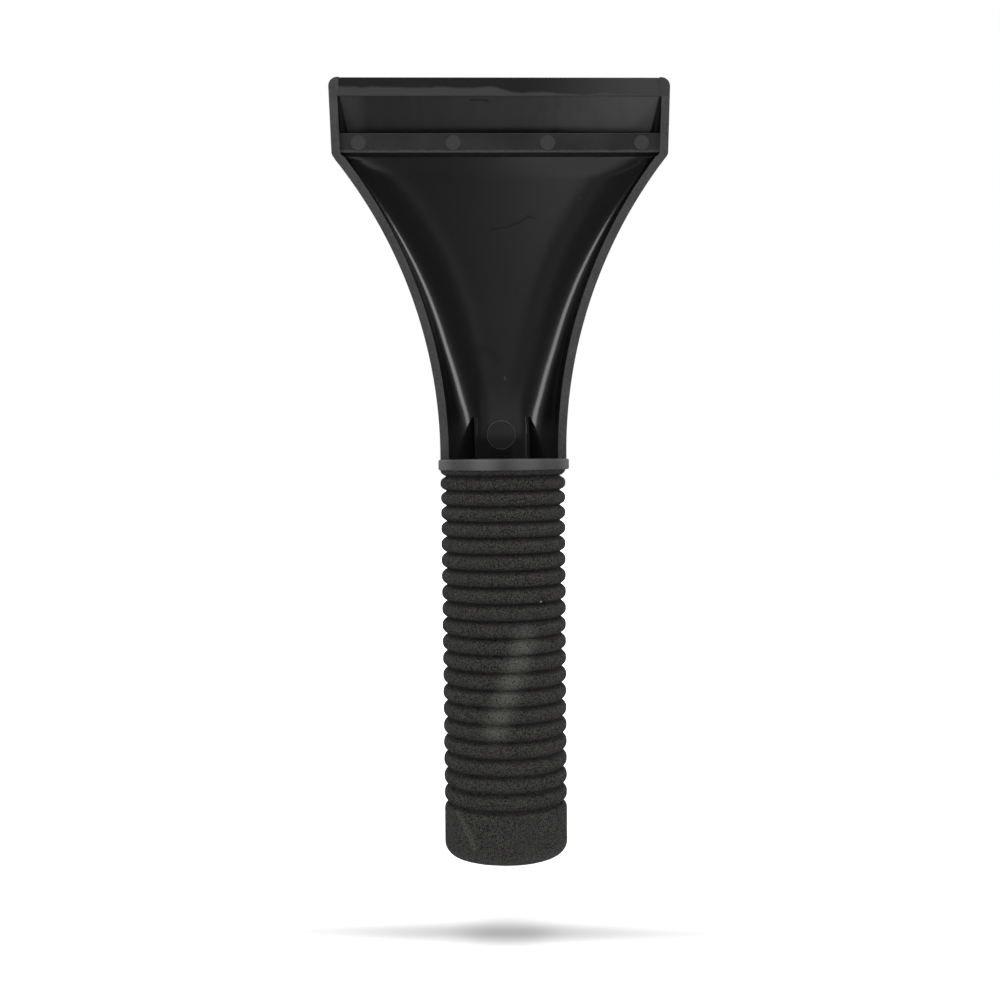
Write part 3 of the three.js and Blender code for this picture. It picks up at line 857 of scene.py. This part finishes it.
def foam_rubber(finish, colours):
    """Ground foam rubber: open pores between pale cell walls, with a scuffed patch, a painted highlight
    along a crease, painted light from below at the lower end, and darker grooves, partly dirt and partly
    painted shade
    """
    cells = finish.cells(0.2 * MM)
    patch = finish.noise(12 * MM, detail=3.0, seed=12.0).smooth_between(0.3, 0.7)
    back = 1.0 - finish.y.math("GREATER_THAN", 0.0)
    scuff = finish.stroke(SCUFF, 6.0, 0.9) * 0.6
    # Painted highlight: a pale line along a crease
    crease = finish.stroke(CREASE, 1.5, 0.9) * 0.35
    # Painted light: paler at the lower end, standing in for light thrown up by the floor
    lit_from_below = 1.0 - finish.z.smooth_between(1.0 * MM, 5.0 * MM)
    rubbed_and_lit = (scuff + crease + lit_from_below * 0.3) * back * cells.smooth_between(0.0, 0.6)
    fleck = finish.stroke(FLECK, 0.32) * back
    grip = bpy.context.scene.scraper_grip
    x, y = finish.x - grip.shift, finish.y
    crest = finish.z * (grip.spread / grip.top) + grip.radius
    # Darker in the grooves: partly dirt, partly painted shade
    sunk = (crest - (x * x + y * y).math("SQRT")).smooth_between(0.3 * MM, 1.2 * MM)
    sunk = sunk * finish.z.smooth_between(3.0 * MM, 12.0 * MM)
    base = finish.mix(cells.smooth_between(0.25, 0.75), colours.foam_pore, colours.foam_cell)
    base = finish.mix(patch * 0.25, base, scaled(colours.foam_cell, 0.6))
    base = finish.mix(sunk * 0.3, base, colours.foam_pore)
    base = finish.mix(rubbed_and_lit, base, colours.foam_scuff_and_lit)
    base = finish.mix(fleck, base, scaled(colours.foam_scuff_and_lit, 6.0))
    finish.set(Base_Color=base, Roughness=0.95, Specular_IOR_Level=0.15)
    finish.bump(cells, 0.12 * MM, 0.7)


def finish_called(maker):
    """The material that a maker describes, made once and named after it"""
    name = maker.__name__.replace("_", " ")
    if name not in bpy.data.materials:
        maker(Finish(name), bpy.context.scene.scraper_finish)
    return bpy.data.materials[name]


# The moulding's finishes, in the order of its material slots
BODY_FINISHES = (
    satin_plastic,
    grain_plastic,
    gloss_plastic,
    lip_plastic,
    pocket_plastic,
    collar_plastic,
    edge_highlight_plastic,
    bar_plastic,
)


# Pieces of the moulded body


# Parts of a unit normal along an axis: above the first a face lies flat across it, below the second along it
FLAT = 0.98
SIDEWAYS = 0.2


def head_shell(form):
    """Skin, rim, hollow, pocket and lip as one closed loft, with slots in the order of BODY_FINISHES"""
    satin, grain, gloss, lip, pocket = range(5)
    rings = [form.ring(z) for z in form.heights()]
    around = len(rings[0])
    half = around // 2
    vertices = [point for ring in rings for point in ring]
    faces, zones = [], []
    edge_points = form.ROUND_STEPS + 1
    for row in range(len(rings) - 1):
        on_lip = rings[row][0][2] > form.lip_z - form.NEAR
        in_pocket = rings[row][0][2] > 0.5 * (form.bar_base_z + form.bar_top_z)
        for i in range(around):
            here, there = row * around + i, row * around + (i + 1) % around
            faces.append((here, there, there + around, here + around))
            along = i % half
            on_edge = along < edge_points or along >= half - edge_points - 1
            if i < half:
                zones.append(grain if on_edge else satin)
            elif on_lip:
                zones.append(lip)
            else:
                zones.append(grain if on_edge else (pocket if in_pocket else gloss))
    for row, flip in ((0, True), (len(rings) - 1, False)):
        start = row * around
        for i in range(half - 1):
            far = start + around - 1 - i
            quad = (start + i, start + i + 1, far - 1, far)
            faces.append(tuple(reversed(quad)) if flip else quad)
            zones.append(grain)
    shell = mesh_object("scraper_moulding", vertices, faces)
    shell.data.polygons.foreach_set("material_index", zones)
    return shell


def stiffening_bar(form):
    s = form.sizes
    flare = (s.bar_root - s.bar_recess) * math.tan(s.bar_draft)
    outline = [
        (s.bar_recess, form.bar_base_z, True),
        (s.bar_root, form.bar_base_z - flare, False),
        (s.bar_root_top, form.bar_top_z + flare, False),
        (s.bar_recess, form.bar_top_z, True),
    ]
    reach = form.inner_half_width(form.bar_base_z) + 0.25 * s.wall
    return drawn_along_x("stiffening_bar", rounded(outline, s.bar_round), -reach, reach)


def gusset(form, side):
    """A plate from the collar up the neck, with a sloped top and a painted highlight on its inner edge in
    the second slot
    """
    s = form.sizes
    foot = form.neck_z - 0.5 * s.collar_thickness
    tip = form.neck_z + s.gusset_length
    outline = [
        (s.gusset_top, foot),
        (s.gusset_root, foot),
        (s.gusset_root, tip),
        (s.gusset_tip, tip),
        (s.gusset_back, tip - s.gusset_back_share * s.gusset_length),
        (s.gusset_top, form.neck_z),
    ]
    middle = side * s.gusset_offset
    half = 0.5 * s.gusset_thickness
    plate = drawn_along_x("gusset", outline, middle - half, middle + half, bevel=s.gusset_edge)
    for vertex in plate.data.vertices:
        down = clamped((vertex.co.y - s.gusset_top) / (s.gusset_root - s.gusset_top))
        vertex.co.x = middle + (vertex.co.x - middle) * blend_to(s.gusset_taper, 1.0, down)
    # Painted highlight: the upper part of the inner edge takes the pale edge finish
    highlight_from = form.neck_z + s.gusset_highlight_share * s.gusset_length
    with edited(plate) as shape:
        everything = [*shape.verts, *shape.edges, *shape.faces]
        bmesh.ops.bisect_plane(
            shape, geom=everything, plane_co=(0.0, 0.0, highlight_from), plane_no=(0.0, 0.0, 1.0)
        )
    slots = []
    for face in plate.data.polygons:
        on_inner_edge = SIDEWAYS < -side * face.normal.x < FLAT
        slots.append(int(on_inner_edge and face.center.z > highlight_from))
    plate.data.polygons.foreach_set("material_index", slots)
    return plate


def collar(form):
    s = form.sizes
    base, top = form.neck_z - s.collar_thickness, form.neck_z
    inset = s.collar_radius - s.collar_round
    lower = []
    for turn in np.linspace(0.0, 0.5 * math.pi, 6):
        out, up = math.sin(turn), 1.0 - math.cos(turn)
        lower.append((inset + s.collar_round * out, base + s.collar_round * up))
    upper = [(radius, base + top - z) for radius, z in reversed(lower)]
    return turned("collar", [(0.0, base), *lower, *upper, (0.0, top)], segments=180)


def core_pieces(form):
    """Web, ribs and discs that the foam sits on"""
    s = form.sizes
    low, high = BODY_LOW[2], form.neck_z - 0.5 * s.collar_thickness
    inside = s.core_radius - 0.5 * MM
    rib_half = math.sqrt(inside**2 - (s.gusset_offset + 0.5 * s.core_rib) ** 2)
    plates = [(0.0, s.core_radius - 0.5 * s.core_web, 0.5 * s.core_web)]
    plates += [(side * s.gusset_offset, 0.5 * s.core_rib, rib_half) for side in (-1.0, 1.0)]
    for x, half_x, half_y in plates:
        outline = [(-half_y, low), (half_y, low), (half_y, high), (-half_y, high)]
        yield drawn_along_x("core_plate", outline, x - half_x, x + half_x)
    for place in range(s.core_discs):
        base = blend_to(low, form.neck_z - s.collar_thickness, place / s.core_discs)
        top = base + s.core_disc
        profile = [(0.0, base), (s.core_radius, base), (s.core_radius, top), (0.0, top)]
        yield turned("core_disc", profile, segments=64)


def neck_pin(form):
    """Large ejector-pin mark in the neck, with its rounded edge in the second slot"""
    s = form.sizes
    radius, edge = s.neck_pin_radius, s.neck_pin_edge
    face, root = s.neck_pin_depth, s.neck_pin_depth + s.pin_root
    profile = [(0.0, face), (radius - 2.0 * edge, face), (radius - edge, face)]
    profile += [(radius - 0.3 * edge, face + 0.3 * edge)]
    profile += [(radius, face + edge), (radius, root), (0.0, root)]
    pin = turned("neck_pin", profile, segments=96)
    lifted = Matrix.Translation((0.0, 0.0, form.neck_z + s.neck_pin_rise))
    pin.data.transform(lifted @ Matrix.Rotation(-0.5 * math.pi, 4, "X"))
    tidy_normals(pin)
    # Painted highlight: the rounded edge takes the pale edge finish
    slots = [int(abs(part.normal.y) < FLAT) for part in pin.data.polygons]
    pin.data.polygons.foreach_set("material_index", slots)
    return pin


class SCRAPER_OT_moulded_body(bpy.types.Operator):
    """Make the one-piece moulding: head, stiffening bar, gussets, collar and handle core"""

    bl_idname = "scraper.moulded_body"
    bl_label = "Moulded body"

    def execute(self, context):
        form = HeadForm(context.scene.scraper_head)
        body = paint(head_shell(form), *BODY_FINISHES)
        combine(body, paint(stiffening_bar(form), bar_plastic))
        for side in (-1.0, 1.0):
            combine(body, paint(gusset(form, side), gloss_plastic, edge_highlight_plastic))
        combine(body, paint(collar(form), collar_plastic))
        for piece in core_pieces(form):
            combine(body, paint(piece, satin_plastic))
        combine(body, paint(neck_pin(form), gloss_plastic, edge_highlight_plastic))
        smooth_over(body, degrees=28.0)
        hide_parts("scraper_body")
        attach(body, BODY)
        return {"FINISHED"}


def pin_mark_tree():
    """A row of round pads along X"""
    sockets = {
        "Count": "Int",
        "Start": "Vector",
        "Spacing": "Vector",
        "Radius": "Float",
        "Thickness": "Float",
        "Finish": "Material",
    }
    tree, value = new_tree("Pin marks", sockets)
    row = {"Count": value["Count"], "Start Location": value["Start"], "Offset": value["Spacing"]}
    pad = {"Vertices": 64, "Radius": value["Radius"], "Depth": value["Thickness"]}
    placing = {
        "Points": add_node(tree, "GeometryNodeMeshLine", row).outputs["Mesh"],
        "Instance": add_node(tree, "GeometryNodeMeshCylinder", pad).outputs["Mesh"],
        "Rotation": (0.5 * math.pi, 0.0, 0.0),
    }
    placed = add_node(tree, "GeometryNodeInstanceOnPoints", placing)
    end_tree(tree, placed.outputs["Instances"], value["Finish"])
    return tree


class SCRAPER_OT_pin_marks(bpy.types.Operator):
    """Make the row of ejector-pin marks on the stiffening bar"""

    bl_idname = "scraper.pin_marks"
    bl_label = "Pin marks"

    def execute(self, context):
        form = HeadForm(context.scene.scraper_head)
        s = form.sizes
        middle_z = 0.5 * (form.bar_base_z + form.bar_top_z)
        depth = s.bar_recess - s.pin_stand + 0.5 * s.pin_root
        values = {
            "Count": s.pin_count,
            "Start": (-0.5 * (s.pin_count - 1) * s.pin_spacing, depth, middle_z),
            "Spacing": (s.pin_spacing, 0.0, 0.0),
            "Radius": s.pin_radius,
            "Thickness": s.pin_root,
            "Finish": finish_called(pin_face),
        }
        marks = run_tree("pin_marks", pin_mark_tree(), values)
        smooth_over(marks, degrees=32.0)
        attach(marks, BODY)
        return {"FINISHED"}


# Foam grip


# Inputs of the sleeve that are sizes of the grip, by their names there
SLEEVE_SIZES = (
    "Radius", "Spread", "Top", "End round", "End wall", "Bore", "Groove depth", "Rib power", "First groove",
    "Pitch", "Squeeze", "Squeeze reach", "Wave size", "Wave height", "Cell size", "Cell height",
)
SLEEVE_PHASES = ("First phase", "Last phase", "Last groove")
SLEEVE_COUNTS = ("Segments", "Skin rows", "End rows", "Bore rows")
# Rim, wall and bottom of the bore
BORE_ROWS = 3
PHASE_STEPS = 8


def turned_sheet(tree, columns, rows, clockwise, profile):
    """A sheet turned about Z; profile maps the run from 0 to 1 along it to (radius, height)"""
    sides = {"Size X": 1.0, "Size Y": 1.0, "Vertices X": columns + 1.0, "Vertices Y": rows + 1.0}
    grid = add_node(tree, "GeometryNodeMeshGrid", sides)
    x, y, _ = axes_of(tree, add_node(tree, "GeometryNodeInputPosition").outputs[0])
    turn = (x + 0.5) * (2.0 * math.pi * (-1.0 if clockwise else 1.0))
    radius, height = profile(y + 0.5)
    parts = {"X": radius * turn.math("COSINE"), "Y": radius * turn.math("SINE"), "Z": height}
    place = add_node(tree, "ShaderNodeCombineXYZ", parts).outputs[0]
    moved = add_node(tree, "GeometryNodeSetPosition", {"Geometry": grid.outputs["Mesh"], "Position": place})
    return moved.outputs[0]


def roughened(tree, geometry, value, size, height, seed):
    """Pushes the skin in and out by noise, but not the bore"""
    place = add_node(tree, "GeometryNodeInputPosition").outputs[0]
    inputs = {"Vector": place, "W": seed, "Detail": 1.0, "Scale": size.math("POWER", -1.0)}
    noise = add_node(tree, "ShaderNodeTexNoise", inputs, noise_dimensions="4D")
    x, y, _ = axes_of(tree, place)
    clear_of_bore = value["Bore"] + 0.2 * MM
    outside = (x * x + y * y).math("SQRT").math("GREATER_THAN", clear_of_bore)
    push = (Num(tree, noise.outputs["Fac"]) - 0.5) * height * outside
    normal = add_node(tree, "GeometryNodeInputNormal").outputs[0]
    offset = add_node(tree, "ShaderNodeVectorMath", {0: normal, "Scale": push}, operation="SCALE").outputs[0]
    return add_node(tree, "GeometryNodeSetPosition", {"Geometry": geometry, "Offset": offset}).outputs[0]


def sleeve_tree():
    """Ribbed foam sleeve with a closed, rounded lower end"""
    sockets = {label: "Float" for label in SLEEVE_SIZES + SLEEVE_PHASES}
    sockets |= {label: "Int" for label in SLEEVE_COUNTS}
    tree, value = new_tree("Ribbed sleeve", sockets | {"Finish": "Material"})

    def groove(phase):
        from_crest = (phase.math("FLOORED_MODULO", 1.0) * 2.0 - 1.0).math("ABSOLUTE")
        return value["Groove depth"] * from_crest.math("POWER", value["Rib power"])

    def skin(run):
        phase = value["First phase"] + (value["Last phase"] - value["First phase"]) * run
        gone = 1.0 - (phase * -1.0 / value["Squeeze reach"]).math("EXPONENT")
        height = value["Top"] - value["First groove"] - value["Pitch"] * phase
        height = height + value["Squeeze"] * value["Squeeze reach"] * gone
        ribbed = phase.math("LESS_THAN", value["Last groove"] + 0.5)
        crest = value["Radius"] + value["Spread"] * height / value["Top"]
        return crest - groove(phase) * ribbed, height

    def lower_end(run):
        turn = (run * 2.0).clamped() * (0.5 * math.pi)
        inward = (run * 2.0 - 1.0).clamped()
        flat = value["Radius"] + value["Spread"] * value["End round"] / value["Top"] - value["End round"]
        return (
            flat * (1.0 - inward) + value["End round"] * turn.math("COSINE"),
            value["End round"] * (1.0 - turn.math("SINE")),
        )

    def bore(run):
        across, down, shut = ((run * BORE_ROWS - row).clamped() for row in range(BORE_ROWS))
        rim = value["Radius"] + value["Spread"] - groove(value["First phase"])
        radius = rim + (value["Bore"] - rim) * across - value["Bore"] * shut
        return radius, value["Top"] + (value["End wall"] - value["Top"]) * down

    sheets = [
        turned_sheet(tree, value["Segments"], value["Skin rows"], True, skin),
        turned_sheet(tree, value["Segments"], value["End rows"], True, lower_end),
        turned_sheet(tree, value["Segments"], value["Bore rows"], False, bore),
    ]
    joined = tree.nodes.new("GeometryNodeJoinGeometry")
    for sheet in sheets:
        tree.links.new(sheet, joined.inputs[0])
    sewn = add_node(tree, "GeometryNodeMergeByDistance", {"Geometry": joined.outputs[0], "Distance": 1e-6})
    waved = roughened(tree, sewn.outputs[0], value, value["Wave size"], value["Wave height"], 21.0)
    celled = roughened(tree, waved, value, value["Cell size"], value["Cell height"], 22.0)
    end_tree(tree, celled, value["Finish"])
    return tree


class SCRAPER_OT_foam_grip(bpy.types.Operator):
    """Make the ribbed foam sleeve"""

    bl_idname = "scraper.foam_grip"
    bl_label = "Foam grip"

    def execute(self, context):
        s = context.scene.scraper_grip
        squeezed = s.squeeze * s.squeeze_reach
        last_phase = (s.top - s.first_groove - s.end_round + squeezed) / s.pitch
        first_phase = -s.first_groove / (s.pitch - s.squeeze)
        for _ in range(PHASE_STEPS):
            reached = s.pitch * first_phase - squeezed * (1.0 - math.exp(-first_phase / s.squeeze_reach))
            first_phase -= (reached + s.first_groove) / (s.pitch - s.squeeze)
        values = {label: getattr(s, label.lower().replace(" ", "_")) for label in SLEEVE_SIZES}
        values |= {
            "First phase": first_phase,
            "Last phase": last_phase,
            "Last groove": float(s.groove_count - 1),
            "Segments": s.segments,
            "Skin rows": int(s.rib_steps * (last_phase - first_phase)),
            "End rows": s.end_steps,
            "Bore rows": BORE_ROWS,
            "Finish": finish_called(foam_rubber),
        }
        grip = run_tree("foam_sleeve", sleeve_tree(), values)
        grip.data.transform(Matrix.Translation((s.shift, 0.0, 0.0)))
        smooth_over(grip, degrees=60.0)
        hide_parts("foam_grip")
        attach(grip, BODY)
        return {"FINISHED"}


# Studio


def ray_kinds(tree):
    """1 for camera rays, and 1 for glossy and transmission rays"""
    path = tree.nodes.new("ShaderNodeLightPath")
    seen, glossy, through = (
        Num(tree, path.outputs[name]) for name in ("Is Camera Ray", "Is Glossy Ray", "Is Transmission Ray")
    )
    return seen, glossy.math("MAXIMUM", through)


def white_world(room, shade, window):
    """White behind the object as the camera sees it, an even room light, and for mirrored rays a shaded
    camera side with a soft window at the horizon"""
    world = bpy.data.worlds.new("studio")
    world.use_nodes = True
    tree = world.node_tree
    shine = tree.nodes["Background"]
    shine.inputs["Color"].default_value = (1.0, 1.0, 1.0, 1.0)
    seen, mirrored = ray_kinds(tree)
    x, y, z = axes_of(tree, add_node(tree, "ShaderNodeTexCoord").outputs["Generated"])
    behind = y.smooth_between(-0.3, 0.1)
    # A soft window from the left to the middle, in a band at the horizon
    across = x.smooth_between(-0.7, 0.0) * (1.0 - x.smooth_between(0.06, 0.16))
    lifted = z.smooth_between(-0.035, -0.012) * (1.0 - x.smooth_between(0.05, 0.09)) * 0.85 + 0.35
    lifted = lifted * (1.0 - z.smooth_between(0.0, 0.06) * 0.9)
    # A darker gap above the horizon, just right of the middle
    ahead = (1.0 - (x - 0.05).math("ABSOLUTE").smooth_between(0.05, 0.12)) * z.smooth_between(0.008, 0.02)
    front = (across * lifted * window + shade) * (1.0 - ahead * 0.6) * (1.0 - behind)
    room_light = (1.0 - mirrored) * (1.0 - seen) * (1.15 - y.smooth_between(-0.7, 0.7) * 0.6) * room
    feed(tree, seen + mirrored * (behind + front) + room_light, shine.inputs["Strength"])
    bpy.context.scene.world = world


def floor_finish():
    """White to the eye with a flat shade under the object, darker for the light that it throws back"""
    finish = Finish("floor")
    seen, mirrored = ray_kinds(finish.tree)
    thrown = finish.mix(mirrored, (0.6, 0.6, 0.6), (0.1, 0.1, 0.1))
    finish.set(Base_Color=finish.mix(seen, thrown, (0.7, 0.7, 0.7)))
    finish.set(Roughness=0.9, Specular_IOR_Level=0.0)
    x, y = finish.x, finish.y
    out = (x * x + y * y).math("SQRT")
    # Painted light: the floor glows more away from the object, which narrows its shade
    far = out.smooth_between(0.12, 0.6) * 0.9 + out.smooth_between(0.015, 0.07) * 0.15
    # Painted light: more glow away from a line through the object keeps the shade thin along the line of
    # sight, and level in the picture
    line_lean, line_shift = 0.093, 1.5 * MM
    off_line = (y + x * line_lean + line_shift).math("ABSOLUTE")
    far = far + off_line.smooth_between(0.0, 15 * MM) * 0.45
    # Polished faces mirror a pale strip on the camera's side, a little to the right
    ahead = (y * -1.0).math("MAXIMUM", 0.3)
    lean = x / ahead
    light = lean.smooth_between(0.02, 0.1) * (1.0 - lean.smooth_between(0.12, 0.3)) * 1.2 + 0.08
    light = light * (ahead.smooth_between(1.0, 2.2) * 0.25 - ahead.smooth_between(2.4, 3.4) * 0.55 + 0.75)
    light = light + (1.0 - ahead.smooth_between(1.0, 2.0)) * 0.05
    glow = seen * far + mirrored * light
    finish.set(Emission_Color=(1.0, 1.0, 1.0, 1.0), Emission_Strength=glow)
    return finish.material


def soft_box(name, place, target, size, watts):
    lamp = bpy.data.lights.new(name, "AREA")
    lamp.shape = "RECTANGLE"
    lamp.size, lamp.size_y = size
    lamp.energy = watts
    box = bpy.data.objects.new(name, lamp)
    box.location = place
    box.rotation_euler = (Vector(target) - Vector(place)).to_track_quat("-Z", "Y").to_euler()
    bpy.context.scene.collection.objects.link(box)


def photo_camera(studio):
    view = bpy.data.cameras.new("camera")
    view.sensor_width = 36.0
    view.lens = studio.lens
    view.clip_start = 0.01
    camera = bpy.data.objects.new("camera", view)
    turn = Matrix.Rotation(-studio.camera_turn, 3, "Z")
    tilt = Matrix.Rotation(0.5 * math.pi - studio.camera_pitch, 3, "X")
    roll = Matrix.Rotation(-studio.camera_roll, 3, "Z")
    camera.rotation_euler = (turn @ tilt @ roll).to_euler()
    camera.location = turn @ Vector((studio.camera_side, -studio.camera_distance, studio.camera_height))
    bpy.context.scene.collection.objects.link(camera)
    bpy.context.scene.camera = camera


class SCRAPER_OT_studio(bpy.types.Operator):
    """Make the floor, the lamps and the camera"""

    bl_idname = "scraper.studio"
    bl_label = "Studio"

    def execute(self, context):
        studio = context.scene.scraper_studio
        half = studio.floor_half
        corners = [(-half, -half), (half, -half), (half, half), (-half, half)]
        floor = mesh_object("floor", [(x, y, -studio.floor_drop) for x, y in corners], [(0, 1, 2, 3)])
        floor.data.materials.append(floor_finish())
        white_world(studio.room_light, studio.front_shade, studio.window_light)
        side = (studio.side_lamp_width, studio.side_lamp_height)
        top = (studio.top_lamp_width, studio.top_lamp_depth)
        for name, place, size, watts in (
            ("lamp_left", studio.left_lamp, side, studio.left_watts),
            ("lamp_right", studio.right_lamp, side, studio.right_watts),
            ("lamp_top", studio.top_lamp, top, studio.top_watts),
        ):
            soft_box(name, place, studio.lamp_target, size, watts)
        photo_camera(studio)
        context.scene.view_settings.view_transform = "Standard"
        return {"FINISHED"}


class SCRAPER_PT_panel(bpy.types.Panel):
    """Steps that build the ice scraper"""

    bl_idname = "SCRAPER_PT_panel"
    bl_label = "Ice scraper"
    bl_space_type = "VIEW_3D"
    bl_region_type = "UI"
    bl_category = "Ice scraper"

    def draw(self, context):
        for operator in OPERATORS:
            self.layout.operator(operator.bl_idname)


OPERATORS = (SCRAPER_OT_moulded_body, SCRAPER_OT_pin_marks, SCRAPER_OT_foam_grip, SCRAPER_OT_studio)
SETTINGS = {
    "scraper_head": HeadSizes,
    "scraper_grip": GripSizes,
    "scraper_finish": FinishColours,
    "scraper_studio": StudioSettings,
}


def register():
    for kind in (*SETTINGS.values(), *OPERATORS, SCRAPER_PT_panel):
        bpy.utils.register_class(kind)
    for name, kind in SETTINGS.items():
        setattr(bpy.types.Scene, name, bpy.props.PointerProperty(type=kind))


def unregister():
    for name in SETTINGS:
        delattr(bpy.types.Scene, name)
    for kind in reversed((*SETTINGS.values(), *OPERATORS, SCRAPER_PT_panel)):
        bpy.utils.unregister_class(kind)


def main():
    register()
    bpy.ops.scraper.moulded_body()
    bpy.ops.scraper.pin_marks()
    bpy.ops.scraper.foam_grip()
    bpy.ops.scraper.studio()


if __name__ == "__main__":
    main()
